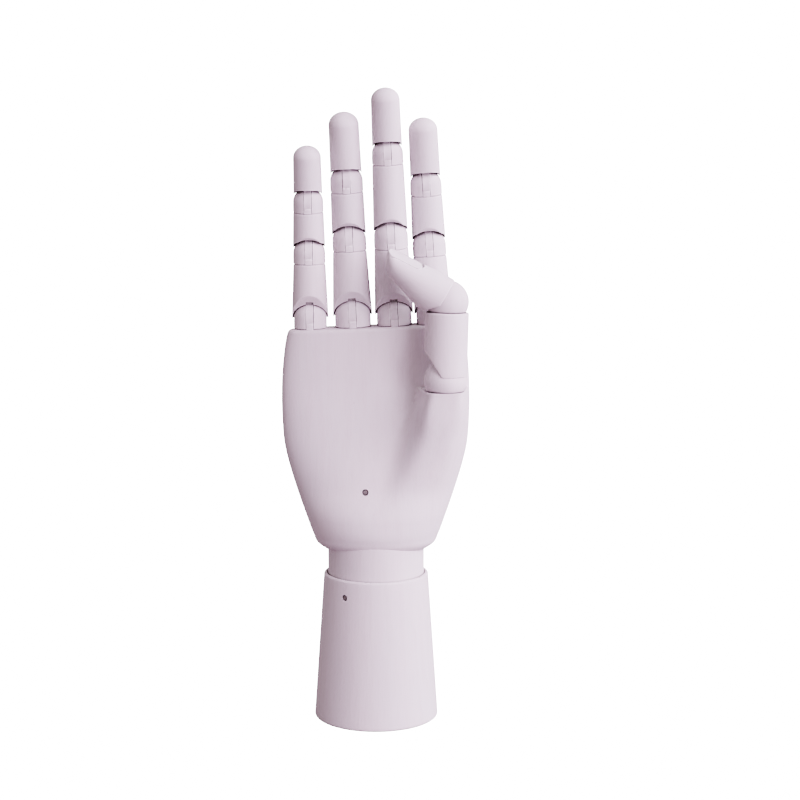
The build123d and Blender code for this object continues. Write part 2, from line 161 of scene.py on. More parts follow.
# Finger joints: every gap is the clearance on one side
TONGUE_THICKNESS = 3.4
TONGUE_EDGE = 0.15
NECK_END_GAP = 0.3
SLOT_WIDTH = 3.9
SLOT_FLOOR_GAP = 0.14
TONGUE_INSET = 0.05
HUB_SHARE = 0.84
HUB_SIDE_GAP = 0.02
WEB_SIDE_GAP = 0.3
WEB_TOP_INSET = 0.1
WEB_FOOT_GAP = 0.12
WEB_LEAST = 0.02
SOCKET_GAP = 0.5
# How much wider the socket is in front at the root, middle and end joint, and the power
# with which that fades to the sides
SOCKET_RELIEFS = (0.5, 2.0, 2.6)
RELIEF_POWER = 0.7
# A mouth's rim is at least this wide, and the tries that settle its level
RIM_LEAST = 0.04
MOUTH_TRIES = 20
SOCKET_TOLERANCE = 0.05
TONGUE_GRIP = 4.0
MORTISE_RELIEF = 1.05
MORTISE_SIDE_GAP = 0.16
PIN_RADIUS = 1.2
PIN_LENGTH = 12.0
HINGE_RISE_SHARE = 0.64
NECK_WIDTH_SHARE = 0.9
# How far each segment's mouth stands out past its ball, and the slope of its front
LIPS = (0.9, 0.1, -0.3)
BEVELS = (54.0, 50.0, 48.0)
EDGE_ROUND = 0.22
SEAT_ROUND = 0.7
KNUCKLE_EDGE = 0.5
TIP_RADIUS_SHARE = 0.91
TIP_HEIGHT_SHARE = 0.86

# How far each tongue stands from the middle of its slot, to the left where it is minus:
# the three joints of a finger from the palm up
TONGUE_SHIFTS = {
    "little": (-0.12, -0.12, -0.08),
    "ring": (-0.12, -0.12, 0.12),
    "middle": (-0.12, -0.12, -0.14),
    "index": (-0.12, -0.12, 0.1),
}

# finger: ball radii, length of the last segment, its bend from the one below
FINGERS = {
    "little": ((7.9, 7.7, 7.2), 27.4, 8.0),
    "ring": ((8.6, 8.1, 7.8), 33.4, 9.0),
    "middle": ((8.4, 8.1, 7.4), 31.5, 9.0),
    "index": ((8.2, 8.0, 7.5), 32.4, 9.0),
}

# Thumb: its sockets are wide on the fingers' side and close behind, and no mouth reaches
# lower than THUMB_MOUTH above its hinge
THUMB_BALL = 10.0
THUMB_RADIUS = 10.2
THUMB_SOCKET_GAP = 0.55
THUMB_BACK_GAP = 0.12
THUMB_MOUTH = 2.6
THUMB_RISE_SHARE = 0.5
THUMB_BEVELS = (54.8, 40.0)
THUMB_DISTAL_LENGTH = 36.0
THUMB_BEND = 60.0
# Thumb tip: share of its length, then back, pad and half-width as shares of its radius
THUMB_TIP_SHARES = np.array([
    (0.0, 1.0, -1.0, 1.0),
    (0.17, 1.0, -0.98, 1.0),
    (0.33, 0.97, -0.92, 0.98),
    (0.44, 0.91, -0.82, 0.94),
    (0.54, 0.87, -0.70, 0.89),
    (0.64, 0.85, -0.59, 0.84),
    (0.74, 0.83, -0.49, 0.79),
    (0.82, 0.80, -0.38, 0.74),
    (0.88, 0.78, -0.24, 0.68),
    (0.93, 0.75, -0.03, 0.58),
    (0.96, 0.72, 0.16, 0.47),
    (0.985, 0.68, 0.36, 0.32),
    (1.0, 0.62, 0.52, 0.12),
])
# Thumb nail: its flat's distance from the hinge and from the thumb's middle, half-width,
# turn round the thumb and fall towards the tip
NAIL_START = 17.7
NAIL_HEIGHT = 8.2
NAIL_HALF_WIDTH = 4.4
NAIL_TURN = 22.0
NAIL_FALL = 5.0
# The groove round the nail: its width and depth, how far it stands inside the outline, and
# the radius of the skin that it follows
NAIL_GROOVE = 0.45
NAIL_MARGIN = 0.5
NAIL_SKIN_RADIUS = 8.6

# Paint, wear, painted edge highlight and painted crevice shade: linear colours, and lengths in metres
PAINT_WARM = (0.655, 0.590, 0.632, 1.0)
PAINT_COOL = (0.625, 0.578, 0.622, 1.0)
PAINT_THIN = (0.585, 0.520, 0.562, 1.0)
PAINT_GRAIN = (0.560, 0.490, 0.530, 1.0)
PAINT_SPECK = (0.470, 0.400, 0.430, 1.0)
# Pale colour on edges: partly paint rubbed thin, partly a painted highlight where rims catch the light
PAINT_WORN_AND_HIGHLIGHT = (0.860, 0.810, 0.850, 1.0)
# Dark colour from ambient occlusion in crevices, seats, slots and socket gaps: painted shade
CREVICE_PAINTED_SHADE = (0.085, 0.062, 0.064, 1.0)
BARE_WOOD = (0.200, 0.120, 0.090, 1.0)
STEEL_DARK = (0.130, 0.115, 0.120, 1.0)
STEEL_PALE = (0.300, 0.280, 0.290, 1.0)
RUST = (0.160, 0.080, 0.050, 1.0)
WEAR_REACH = 0.0008
CREVICE_SHADE_REACH = 0.0045
PAINT_RELIEF = 0.00012
STEEL_RELIEF = 0.00005

# Noises of the paint: how each is drawn out along the grain, its scale and its detail
PAINT_NOISES = {
    "Grain": ((1.0, 1.0, 0.05), 1300.0, 4.0),
    "Strokes": ((1.0, 1.0, 0.10), 330.0, 5.0),
    "Tone": ((1.0, 1.0, 0.55), 42.0, 3.0),
    "Specks": ((1.0, 1.0, 0.8), 620.0, 2.0),
}
# Layers over the paint's tone: noise, where it starts and is full, its share and its colour
PAINT_LAYERS = (
    ("Strokes", 0.42, 0.75, 0.55, PAINT_THIN),
    ("Grain", 0.50, 0.80, 0.35, PAINT_GRAIN),
    ("Specks", 0.74, 0.80, 0.5, PAINT_SPECK),
)

# How far the grain of the thumb's two segments leans towards the little finger
THUMB_LEANS = (-3.0, -63.0)

# Camera, as fitted to the photograph
CAMERA_PLACE = (0.0, -0.850, 0.280)
CAMERA_TURN = (81.73, 0.0, -0.79)
CAMERA_LENS = 80.1

# Light: two large soft lamps on the right, each with its degrees right of the camera and
# above it, its power and its colour, and a weak warm surround that the camera sees as white
LAMP_TARGET = (0.0, 0.0, 0.16)
LAMP_DISTANCE = 3.2
LAMP_SIZE = 2.9
LAMPS = {
    "key": (48.0, 24.0, 470.0, (1.0, 0.75, 0.99)),
    "side": (92.0, 26.0, 260.0, (0.94, 0.87, 1.0)),
}
SURROUND_COLOUR = (1.0, 0.80, 0.87, 1.0)
SURROUND_STRENGTH = 0.80
BACKDROP_STRENGTH = 32.0
FLOOR_COLOUR = (0.8, 0.79, 0.79, 1.0)
FLOOR_BOUNCE = (0.16, 0.13, 0.14, 1.0)
FLOOR_GLOW = 26.0


def unit(v):
    v = np.asarray(v, float)
    return v / np.linalg.norm(v)


def turned(v, axis, angle):
    """The vector turned about a unit axis by an angle in degrees."""
    a = radians(angle)
    return v * cos(a) + np.cross(axis, v) * sin(a) + axis * np.dot(axis, v) * (1 - cos(a))


def axes_at(origin, x_dir, z_dir):
    """A local frame: its origin and its three axes as rows, z up along the piece."""
    x_dir = unit(x_dir)
    z_dir = unit(z_dir)
    return np.asarray(origin, float), np.array([x_dir, np.cross(z_dir, x_dir), z_dir])


def placed(points, local):
    """Local points, in millimetres and in an array of any shape, moved to the frame."""
    origin, axes = local
    return (points.reshape(-1, 3) @ axes + origin).reshape(points.shape)


def smooth_between(x, xs, ys):
    """Cubic Hermite curve through the given points, with slopes from their neighbours."""
    slopes = np.gradient(ys, xs)
    i = np.clip(np.searchsorted(xs, x) - 1, 0, len(xs) - 2)
    step = xs[i + 1] - xs[i]
    t = np.clip((x - xs[i]) / step, 0, 1)
    return (
        (2 * t**3 - 3 * t**2 + 1) * ys[i]
        + (t**3 - 2 * t**2 + t) * step * slopes[i]
        + (-2 * t**3 + 3 * t**2) * ys[i + 1]
        + (t**3 - t**2) * step * slopes[i + 1]
    )


def columns_at(share, table):
    """Every further column of a table, at one place or at many along its first column."""
    return [smooth_between(share, table[:, 0], column) for column in table[:, 1:].T]


def smoothstep(low, high, value):
    t = np.clip((value - low) / (high - low), 0, 1)
    return t * t * (3 - 2 * t)


def ring_mesh(name, rings, first_pole, last_pole):
    """A closed skin from rings of points, all of one length, closed by a pole at each end."""
    rows, count = rings.shape[:2]
    points = np.concatenate([rings.reshape(-1, 3), [first_pole, last_pole]])
    row = np.arange(rows - 1)[:, None] * count
    column = np.arange(count)
    after = (column + 1) % count
    quads = np.stack([row + column, row + after, row + count + after, row + count + column], -1)
    quads = quads.reshape(-1, 4)
    start = np.full(count, rows * count)
    end = start + 1
    last = (rows - 1) * count
    caps = np.concatenate([
        np.stack([after, column, start], -1),
        np.stack([last + column, last + after, end], -1),
    ])
    a, b, c = (points[caps[:, k]] for k in range(3))
    volume = np.einsum("ij,ij->", a, np.cross(b, c))
    for second, third in ((1, 2), (2, 3)):
        a, b, c = points[quads[:, 0]], points[quads[:, second]], points[quads[:, third]]
        volume += np.einsum("ij,ij->", a, np.cross(b, c))
    if volume < 0:
        quads = quads[:, ::-1]
        caps = caps[:, ::-1]
    mesh = bpy.data.meshes.new(name)
    mesh.from_pydata((points * MM).tolist(), [], quads.tolist() + caps.tolist())
    mesh.update()
    return mesh


def add_object(name, mesh):
    thing = bpy.data.objects.new(name, mesh)
    bpy.context.scene.collection.objects.link(thing)
    return thing


def closed_piece(name, rings, poles, local):
    """A closed piece from local rings and its two local poles."""
    return add_object(name, ring_mesh(name, placed(rings, local), *placed(poles, local)))


def skin(name, rings, first, last, local):
    """A closed piece from local rings and the heights of its two poles."""
    poles = np.array([(0, 0, first), (0, 0, last)], float)
    return closed_piece(name, rings, poles, local)


def around(count=ROUND):
    return np.linspace(0, 2 * pi, count, endpoint=False)


def circle(radius, height, turn):
    """Rings about the local z axis, whose radius and height may change round them."""
    return np.stack([radius * np.cos(turn), radius * np.sin(turn), height + 0 * turn], -1)


def turned_piece(name, profile, local, count=ROUND):
    """A turned skin: each (radius, height) of the profile becomes one ring about local z.

    The first and last points of the profile lie on the axis and close the skin."""
    profile = np.asarray(profile, float)
    rings = circle(profile[1:-1, 0][:, None], profile[1:-1, 1][:, None], around(count))
    return skin(name, rings, profile[0, 1], profile[-1, 1], local)


def bar(name, local, radius, low, high, count=DRILL_ROUND):
    """A round bar along the local z axis, from one height to another."""
    profile = [(0, low), (radius, low), (radius, high), (0, high)]
    return turned_piece(name, profile, local, count)


def block(name, local, low, high):
    """A plain box between two local corners, used to cut a slot or a mortise."""
    sides = ((low[0], low[1]), (high[0], low[1]), (high[0], high[1]), (low[0], high[1]))
    corners = np.array([(x, y, z) for z in (low[2], high[2]) for x, y in sides], float)
    mesh = bpy.data.meshes.new(name)
    faces = [(3, 2, 1, 0), (4, 5, 6, 7), (0, 1, 5, 4), (1, 2, 6, 5), (2, 3, 7, 6), (3, 0, 4, 7)]
    mesh.from_pydata((placed(corners, local) * MM).tolist(), [], faces)
    return add_object(name, mesh)


def cut_away(piece, cutters):
    """Subtracts the cutters from the piece and removes them."""
    for cutter in cutters:
        step = piece.modifiers.new("cut", "BOOLEAN")
        step.operation = "DIFFERENCE"
        step.solver = "EXACT"
        step.object = cutter
    depsgraph = bpy.context.evaluated_depsgraph_get()
    mesh = bpy.data.meshes.new_from_object(piece.evaluated_get(depsgraph))
    piece.modifiers.clear()
    piece.data = mesh
    for cutter in cutters:
        bpy.data.objects.remove(cutter)


def finish_piece(piece, node, material):
    """Smooth skin with its sharp edges kept, material, body and the node that it stands for."""
    mesh = piece.data
    mesh.polygons.foreach_set("use_smooth", [True] * len(mesh.polygons))
    mesh.set_sharp_from_angle(angle=radians(SHARP_ANGLE))
    mesh.materials.clear()
    mesh.materials.append(material)
    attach(piece, BODY_OF[node])
    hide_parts(node)


def eased(before, corner, after, t):
    """The quadratic curve that rounds a corner, at the share t of its way."""
    return (1 - t) ** 2 * before + 2 * t * (1 - t) * corner + t**2 * after


def rounded(before, corner, after, steps=4):
    """Points of the curve that rounds a corner of a profile."""
    t = np.linspace(0, 1, steps + 1)[:, None]
    before, corner, after = (np.asarray(p, float) for p in (before, corner, after))
    return eased(before, corner, after, t).tolist()


def seat_edge(radius, height):
    """The rounded outer edge of a seat, from its flat top down."""
    corner = (radius, height)
    return rounded((radius - SEAT_ROUND, height), corner, (radius, height - SEAT_ROUND))


def rim_rings(corner, start, direction, inner, inner_height, socket):
    """The rim of a mouth and the socket's inside: a rounded outer edge, the flat rim, then
    arcs up to the pole of the socket's sphere."""
    rim = np.concatenate([direction * inner[:, None], inner_height[:, None]], 1)
    width = np.maximum(np.linalg.norm(corner - rim, axis=1, keepdims=True), 1e-6)
    inward = corner + (rim - corner) * np.minimum(1, EDGE_ROUND / width)
    rings = [eased(start, corner, inward, t) for t in (0.33, 0.66, 1.0)]
    rings.append(rim)
    polar = np.arctan2(inner, inner_height)
    for share in np.linspace(0, 1, 10)[1:-1]:
        a = (polar * (1 - share))[:, None]
        rings.append(socket[:, None] * np.concatenate([np.sin(a) * direction, np.cos(a)], 1))
    return rings


def mouth_levels(section, turn, socket, bevel, least):
    """The lower edge of a piece round its mouth, with the rim's inner edge.

    The edge is the highest of the least level, the bevel plane through the hinge and the
    socket's sphere; section(height) gives the outside's points at the heights asked for."""
    slope = np.tan(radians(bevel))
    low = np.full_like(turn, least)
    for _ in range(MOUTH_TRIES):
        points = section(low)
        away = np.hypot(points[:, 0], points[:, 1])
        on_sphere = np.sqrt(np.maximum(0, socket**2 - away**2))
        low = np.maximum(np.maximum(-points[:, 1] * slope, on_sphere), least)
    corner = section(low)
    away = np.hypot(corner[:, 0], corner[:, 1])
    direction = corner[:, :2] / away[:, None]
    fall = np.minimum(0, direction[:, 1]) * slope
    on_plane = np.sqrt(1 + fall**2)
    inner = np.minimum(socket / on_plane, away - RIM_LEAST)
    inner = np.minimum(inner, np.sqrt(socket**2 - least**2))
    on_sphere = np.sqrt(np.maximum(0, socket**2 - inner**2))
    above = inner * on_plane < socket - SOCKET_TOLERANCE
    inner_height = np.where(above, on_sphere, -fall * inner)
    return low, corner, direction, inner, inner_height


def front_relief(turn, socket, relief):
    """The socket's radius round the mouth: its own behind, and more by the relief in front."""
    return socket + relief * np.maximum(0, -np.sin(turn)) ** RELIEF_POWER


def segment_rings(outer, dome, socket, relief, bevel, least=0.0):
    """Rings of a finger segment, from its top down the outside and up into the socket.

    outer(height) is the outer radius, so the outside is a cone between its two ends."""
    turn = around()
    socket = front_relief(turn, socket, relief)

    def section(z):
        return circle(outer(z), z, turn)
    low, corner, direction, inner, inner_height = mouth_levels(section, turn, socket, bevel, least)
    rings = [circle(radius, z, turn) for radius, z in dome]
    top_height = dome[-1][1]
    for share in np.linspace(0, 1, 9)[1:]:
        rings.append(section(top_height + (low + EDGE_ROUND - top_height) * share))
    rim = rim_rings(corner, rings[-1], direction, inner, inner_height, socket)
    return np.array(rings + rim)


def knuckle_rings(ball, rise, straight_sides):
    """Rings of a knuckle block: a round column up to the hinge, or a sphere, then a dome."""
    heights = np.concatenate([[-rise], np.linspace(-rise + KNUCKLE_EDGE, 0, 12)])
    if straight_sides:
        radii = np.full_like(heights, ball)
    else:
        radii = np.sqrt(ball**2 - heights**2)
    radii[0] -= KNUCKLE_EDGE
    dome = np.linspace(0, pi / 2, 17)[1:-1]
    heights = np.concatenate([heights, ball * np.sin(dome)])[:, None]
    radii = np.concatenate([radii, ball * np.cos(dome)])[:, None]
    return circle(radii, heights, around())


def sideways(local):
    """The frame whose z axis is the hinge axis."""
    origin, axes = local
    return origin, np.array([axes[1], axes[2], axes[0]])


def tongue(name, local, ball, gap, shift):
    """A flat plate with a hub: a disc about the hinge with a straight neck upwards.

    The plate's radius is the disc's, or the neck's where that reaches further. The plate
    stands off its slot's middle by the shift, and the hub fills the slot."""
    turn = around()
    up, side = np.cos(turn), np.sin(turn)
    neck_top = ball + gap + TONGUE_GRIP - NECK_END_GAP
    half = ball * NECK_WIDTH_SHARE / 2
    reach = np.minimum(neck_top / np.maximum(up, 1e-6), half / np.maximum(np.abs(side), 1e-6))
    radius = np.maximum(ball - TONGUE_INSET, np.where(up > 0, reach, 0))
    hub = np.full_like(radius, ball * HUB_SHARE)
    hub_face = SLOT_WIDTH / 2 - HUB_SIDE_GAP
    low, high = shift - TONGUE_THICKNESS / 2, shift + TONGUE_THICKNESS / 2
    edge = TONGUE_EDGE
    outline = (
        (hub, -hub_face),
        (hub, low),
        (radius - edge, low),
        (radius, low + edge),
        (radius, high - edge),
        (radius - edge, high),
        (hub, high),
        (hub, hub_face),
    )
    rings = np.array([np.stack([x + 0 * turn, r * side, r * up], -1) for r, x in outline])
    return closed_piece(name, rings, np.array([(-hub_face, 0, 0), (hub_face, 0, 0)]), local)


def slot_disc(local, ball):
    """The saw's path through a seat, below a block."""
    half = SLOT_WIDTH / 2
    return bar("saw", sideways(local), ball + SLOT_FLOOR_GAP, -half, half, ROUND)


def web_outline(ball, rise, side):
    """Rings of the wood left in front of a tongue, or behind it, in the slot of a block.

    Each ring is a four-sided loop at one height, between the tongue's disc and the
    block's side, drawn from the foot up to where the two meet."""
    disc = ball + SLOT_FLOOR_GAP
    top = -sqrt(disc**2 - (ball - WEB_TOP_INSET) ** 2)
    half = SLOT_WIDTH / 2 - WEB_SIDE_GAP
    x = np.linspace(-half, half, 7)
    rings = []
    for z in np.linspace(-rise + WEB_FOOT_GAP, top, 9):
        outer = np.sqrt(ball**2 - x**2)
        inner = np.minimum(np.sqrt(disc**2 - z**2), outer - WEB_LEAST)
        skin_side = np.stack([x, side * outer], -1)
        tongue_side = np.stack([x, side * inner], -1)
        loop = np.concatenate([skin_side, tongue_side[::-1]])
        rings.append(np.concatenate([loop, np.full((len(loop), 1), z)], 1))
    return np.array(rings)


def build_knuckle(node, local, ball, rise, straight_sides=True):
    """A knuckle block: sawn through for its tongue, drilled for its pin."""
    piece = skin(f"{node}_block", knuckle_rings(ball, rise, straight_sides), -rise, ball, local)
    half = SLOT_WIDTH / 2
    if straight_sides:
        reach = ball + CUT_MARGIN
        saw = block("saw", local, (-half, -reach, -rise - CUT_MARGIN), (half, reach, reach))
    else:
        saw = slot_disc(local, ball)
    cut_away(piece, [saw])
    start = -ball - 2 * CUT_MARGIN
    cut_away(piece, [bar("drill", sideways(local), PIN_RADIUS, start, PIN_LENGTH / 2)])
    finish_piece(piece, node, WOOD)
    if not straight_sides:
        return
    for name, side in (("front", -1), ("back", 1)):
        rings = web_outline(ball, rise, side)
        web = closed_piece(f"{node}_{name}", rings, rings[[0, -1]].mean(axis=1), local)
        finish_piece(web, node, WOOD)


def build_tongue(node, local, ball, gap, shift=0.0):
    plate = tongue(f"{node}_plate", local, ball, gap, shift)
    finish_piece(plate, node, TONGUE_PAINT)


def mortise(local, ball, gap, bevel):
    back = ball * NECK_WIDTH_SHARE / 2
    front = (ball + gap) * cos(radians(bevel)) + MORTISE_RELIEF
    half = TONGUE_THICKNESS / 2 + MORTISE_SIDE_GAP
    return block("mortise", local, (-half, -front, 0), (half, back, ball + gap + TONGUE_GRIP))


def build_segment(node, local, ball, lip, relief, bevel, height, next_ball, next_local):
    """A finger segment with the next knuckle's seat on top."""
    gap = SOCKET_GAP

    def outer(z):
        return ball + lip + (next_ball - ball - lip) * z / height
    rings = segment_rings(outer, seat_edge(next_ball, height), ball + gap, relief, bevel)
    piece = skin(f"{node}_wood", rings, height, ball + gap, local)
    cut_away(piece, [slot_disc(next_local, next_ball), mortise(local, ball, gap, bevel)])
    finish_piece(piece, node, WOOD)


def build_tip(node, local, ball, length, bevel):
    """The last segment, tapering to a round tip."""
    tip = ball * TIP_RADIUS_SHARE
    height = tip * TIP_HEIGHT_SHARE
    shoulder = length - height
    mouth = ball + LIPS[2]

    def outer(z):
        return mouth + (tip - mouth) * z / shoulder
    polar = np.linspace(0, pi / 2, TIP_ROWS)[1:]
    dome = [(tip * sin(a), shoulder + height * cos(a)) for a in polar]
    rings = segment_rings(outer, dome, ball + SOCKET_GAP, SOCKET_RELIEFS[2], bevel)
    piece = skin(f"{node}_wood", rings, length, ball + SOCKET_GAP, local)
    cut_away(piece, [mortise(local, ball, SOCKET_GAP, bevel)])
    finish_piece(piece, node, WOOD)


def build_finger(finger, balls, tip_length, tip_bend):
    hinge = [np.array(JOINTS[f"{finger}_{part}"]["pos_m"]) / MM for part in ("root", "mid", "end")]
    axis = unit(JOINTS[f"{finger}_root"]["axis"])
    ways = [unit((-axis[2], 0, axis[0])), unit(hinge[1] - hinge[0]), unit(hinge[2] - hinge[1])]
    ways.append(turned(ways[2], axis, tip_bend))
    segments = ("proximal", "middle", "distal")
    for i, ball in enumerate(balls):
        rise = ball * HINGE_RISE_SHARE
        local = axes_at(hinge[i], axis, ways[i + 1])
        build_knuckle(f"{finger}_knuckle_{i + 1}", axes_at(hinge[i], axis, ways[i]), ball, rise)
        build_tongue(f"{finger}_tongue_{i + 1}", local, ball, SOCKET_GAP, TONGUE_SHIFTS[finger][i])
        node = f"{finger}_{segments[i]}"
        if i < 2:
            height = np.linalg.norm(hinge[i + 1] - hinge[i]) - balls[i + 1] * HINGE_RISE_SHARE
            next_local = axes_at(hinge[i + 1], axis, ways[i + 1])
            mouth = (LIPS[i], SOCKET_RELIEFS[i], BEVELS[i])
            build_segment(node, local, ball, *mouth, height, balls[i + 1], next_local)
        else:
            build_tip(node, local, ball, tip_length, BEVELS[i])


def thumb_tip_rings(bevel, socket, relief, least):
    """Rings of the thumb's tip: ellipses between its back and pad lines, so the height
    through the thumb runs from pad to back and the width from side to side."""
    turn = around(THUMB_ROUND)
    length = THUMB_DISTAL_LENGTH
    socket = front_relief(turn, socket, relief)

    def section(z):
        share = np.clip(z / length, 0, 1)
        smooth = columns_at(share, THUMB_TIP_SHARES)
        back, pad, half = (np.minimum(1, value) * THUMB_RADIUS for value in smooth)
        through = (back + pad) / 2 + (back - pad) / 2 * np.sin(turn)
        return np.stack([half * np.cos(turn), through, z + 0 * turn], -1)
    low, corner, direction, inner, inner_height = mouth_levels(section, turn, socket, bevel, least)
    start = low + EDGE_ROUND
    closer_to_the_end = 1 - np.linspace(0, 1, THUMB_ROWS) ** 1.6
    rings = [section(start + (length - start) * share) for share in closer_to_the_end]
    rim = rim_rings(corner, rings[-1], direction, inner, inner_height, socket)
    return np.array(rings + rim)


def nail_arc(radius):
    """A half circle round the cuticle's end of the nail, in the nail's plane."""
    angles = np.linspace(-pi / 2, pi / 2, ARC_POINTS)
    return np.stack([NAIL_HALF_WIDTH - radius * np.cos(angles), radius * np.sin(angles)], -1)


def nail_cutter(local):
    """What is cut off for the nail: a slab with a round end at the cuticle.

    Its outline is a half circle and two straight sides, raised off the nail's plane."""
    origin, axes = local
    turn, fall = radians(NAIL_TURN), radians(NAIL_FALL)
    outwards = axes[1] * cos(turn) + axes[0] * sin(turn)
    along = axes[2] * cos(fall) - outwards * sin(fall)
    off = outwards * cos(fall) + axes[2] * sin(fall)
    place = origin + axes[2] * NAIL_START + outwards * NAIL_HEIGHT
    half, far = NAIL_HALF_WIDTH, THUMB_DISTAL_LENGTH
    outline = np.concatenate([nail_arc(half), [(far, half), (far, -half)]])
    levels = (0, 2 * half)
    rings = [np.column_stack([outline, np.full(len(outline), z)]) for z in levels]
    ends = np.array([(half, 0, z) for z in levels], float)
    nail = (place, np.array([along, np.cross(off, along), off]))
    return closed_piece("nail", np.array(rings), ends, nail), nail


def nail_groove(nail):
    """The fine groove round the nail: a flat bar bent along the nail's outline."""
    inside, far = NAIL_HALF_WIDTH - NAIL_MARGIN, THUMB_DISTAL_LENGTH
    path = np.concatenate([[(far, -inside)], nail_arc(inside), [(far, inside)]])
    way = np.gradient(path, axis=0)
    out = np.stack([-way[:, 1], way[:, 0]], -1) / np.hypot(way[:, 0], way[:, 1])[:, None]
    wide = NAIL_GROOVE / 2
    below = np.sqrt(NAIL_SKIN_RADIUS**2 - path[:, 1] ** 2) - NAIL_HEIGHT
    floor = (np.minimum(0, below) - NAIL_GROOVE)[:, None]
    top = 0 * floor + NAIL_HALF_WIDTH
    corners = ((-wide, floor), (wide, floor), (wide, top), (-wide, top))
    rings = np.array([np.concatenate([path + out * r, z], 1) for r, z in corners])
    rings = rings.transpose(1, 0, 2)
    return closed_piece("groove", rings, rings[[0, -1]].mean(axis=1), nail)


def build_thumb():
    hinge = [np.array(JOINTS[f"thumb_{part}"]["pos_m"]) / MM for part in ("root", "mid")]
    axis = np.array([0.0, -1.0, 0.0])
    up = np.array([0.0, 0.0, 1.0])
    lower = unit(hinge[1] - hinge[0])
    tip_way = turned(lower, axis, THUMB_BEND)
    rise = THUMB_BALL * THUMB_RISE_SHARE
    gap = THUMB_SOCKET_GAP
    for i, (below, above) in enumerate(((up, lower), (lower, tip_way))):
        seat_local = axes_at(hinge[i], axis, below)
        local = axes_at(hinge[i], axis, above)
        build_knuckle(f"thumb_knuckle_{i + 1}", seat_local, THUMB_BALL, rise, straight_sides=False)
        build_tongue(f"thumb_tongue_{i + 1}", local, THUMB_BALL, gap)
    local = axes_at(hinge[0], axis, lower)
    height = np.linalg.norm(hinge[1] - hinge[0]) - rise

    def outer(z):
        return THUMB_RADIUS + 0 * z
    snug = THUMB_BALL + THUMB_BACK_GAP
    relief = gap - THUMB_BACK_GAP
    edge = seat_edge(THUMB_RADIUS, height)
    rings = segment_rings(outer, edge, snug, relief, THUMB_BEVELS[0], THUMB_MOUTH)
    piece = skin("thumb_proximal_wood", rings, height, snug, local)
    saw = slot_disc(axes_at(hinge[1], axis, lower), THUMB_BALL)
    cut_away(piece, [saw, mortise(local, THUMB_BALL, gap, THUMB_BEVELS[0])])
    finish_piece(piece, "thumb_proximal", THUMB_WOOD[0])
    local = axes_at(hinge[1], axis, tip_way)
    rings = thumb_tip_rings(THUMB_BEVELS[1], snug, relief, THUMB_MOUTH)
    end = (THUMB_TIP_SHARES[-1, 1] + THUMB_TIP_SHARES[-1, 2]) / 2 * THUMB_RADIUS
    poles = np.array([(0, end, THUMB_DISTAL_LENGTH), (0, 0, snug)])
    piece = closed_piece("thumb_distal_wood", rings, poles, local)
    cutter, nail = nail_cutter(local)
    cut_away(piece, [cutter])
    cut_away(piece, [nail_groove(nail), mortise(local, THUMB_BALL, gap, THUMB_BEVELS[1])])
    finish_piece(piece, "thumb_distal", THUMB_WOOD[1])


def palm_rings():
    """Rings of the palm: superellipses whose front carries the thumb mound and the hollow.

    A ring's point is half-width times |cos|^(2/power) across and depth times
    |sin|^(2/power) through the hand. The mound adds a flat-topped bell to the front up
    to the thumb's seat, where one flat ledge ends it, and the hollow takes a bell away."""
    turn = around(PALM_ROUND)
    c, s = np.cos(turn), np.sin(turn)
    tilt = sin(radians(PALM_TOP_TILT))
    top = PALM_BOTTOM + PALM_HEIGHT

    def ring(height, with_mound, inset=0.0):
        share = (height - PALM_BOTTOM) / PALM_HEIGHT
        width, front, back, power = columns_at(share, PALM_SHARES)
        ax = np.sign(c) * np.abs(c) ** (2 / power)
        ay = np.sign(s) * np.abs(s) ** (2 / power)
        inset = inset + PALM_SKIN
        half = PALM_HALF_WIDTH * width - inset
        x = half * ax
        depth = np.where(s > 0, PALM_DEPTH * back, PALM_DEPTH * front) - inset
        y = depth * ay
        clear_of_side = smoothstep(0.0, PALM_SIDE_CLEAR, -ay)
        if with_mound:
            out, middle, wide = columns_at(share, MOUND_LEVELS)
            near_top = smoothstep(MOUND_CRISP_HEIGHT, THUMB_SEAT_HEIGHT, height)
            crisp = MOUND_POWER + MOUND_TOP_POWER * near_top
            bell = np.exp(-(np.abs((x - middle) / wide) ** crisp))
            y = y - clear_of_side * max(out, 0) * bell
        across = (x - HOLLOW_MIDDLE[0]) / HOLLOW_REACH[0]
        upwards = (height - HOLLOW_MIDDLE[1]) / HOLLOW_REACH[1]
        y = y + clear_of_side * HOLLOW_DEPTH * np.exp(-(across**2) - upwards**2)
        z = height + x * tilt * smoothstep(THUMB_SEAT_HEIGHT, top, height)
        return np.stack([x, y, z + 0 * x], -1)
    climb = np.linspace(0, 1, PALM_ROWS_BELOW) ** 1.15
    below = PALM_BOTTOM + (THUMB_SEAT_HEIGHT - PALM_BOTTOM) * climb
    above = np.linspace(THUMB_SEAT_HEIGHT, top - PALM_EDGE_ROUND, PALM_ROWS_ABOVE)
    rings = [ring(h, True) for h in below] + [ring(h, False) for h in above]
    for a in np.linspace(0, pi / 2, 7)[1:]:
        height = top - PALM_EDGE_ROUND * (1 - sin(a))
        rings.append(ring(height, False, PALM_EDGE_ROUND * (1 - cos(a))))
    last = rings[-1]
    flat = last[:, 2] - last[:, 0] * tilt
    for share in np.linspace(1, 0, 8)[1:-1]:
        x = last[:, 0] * (share * 0.6 + 0.4 * smoothstep(0, 1, share))
        y = last[:, 1] * share
        rings.append(np.stack([x, y, flat + x * tilt], -1))
    return np.array(rings)


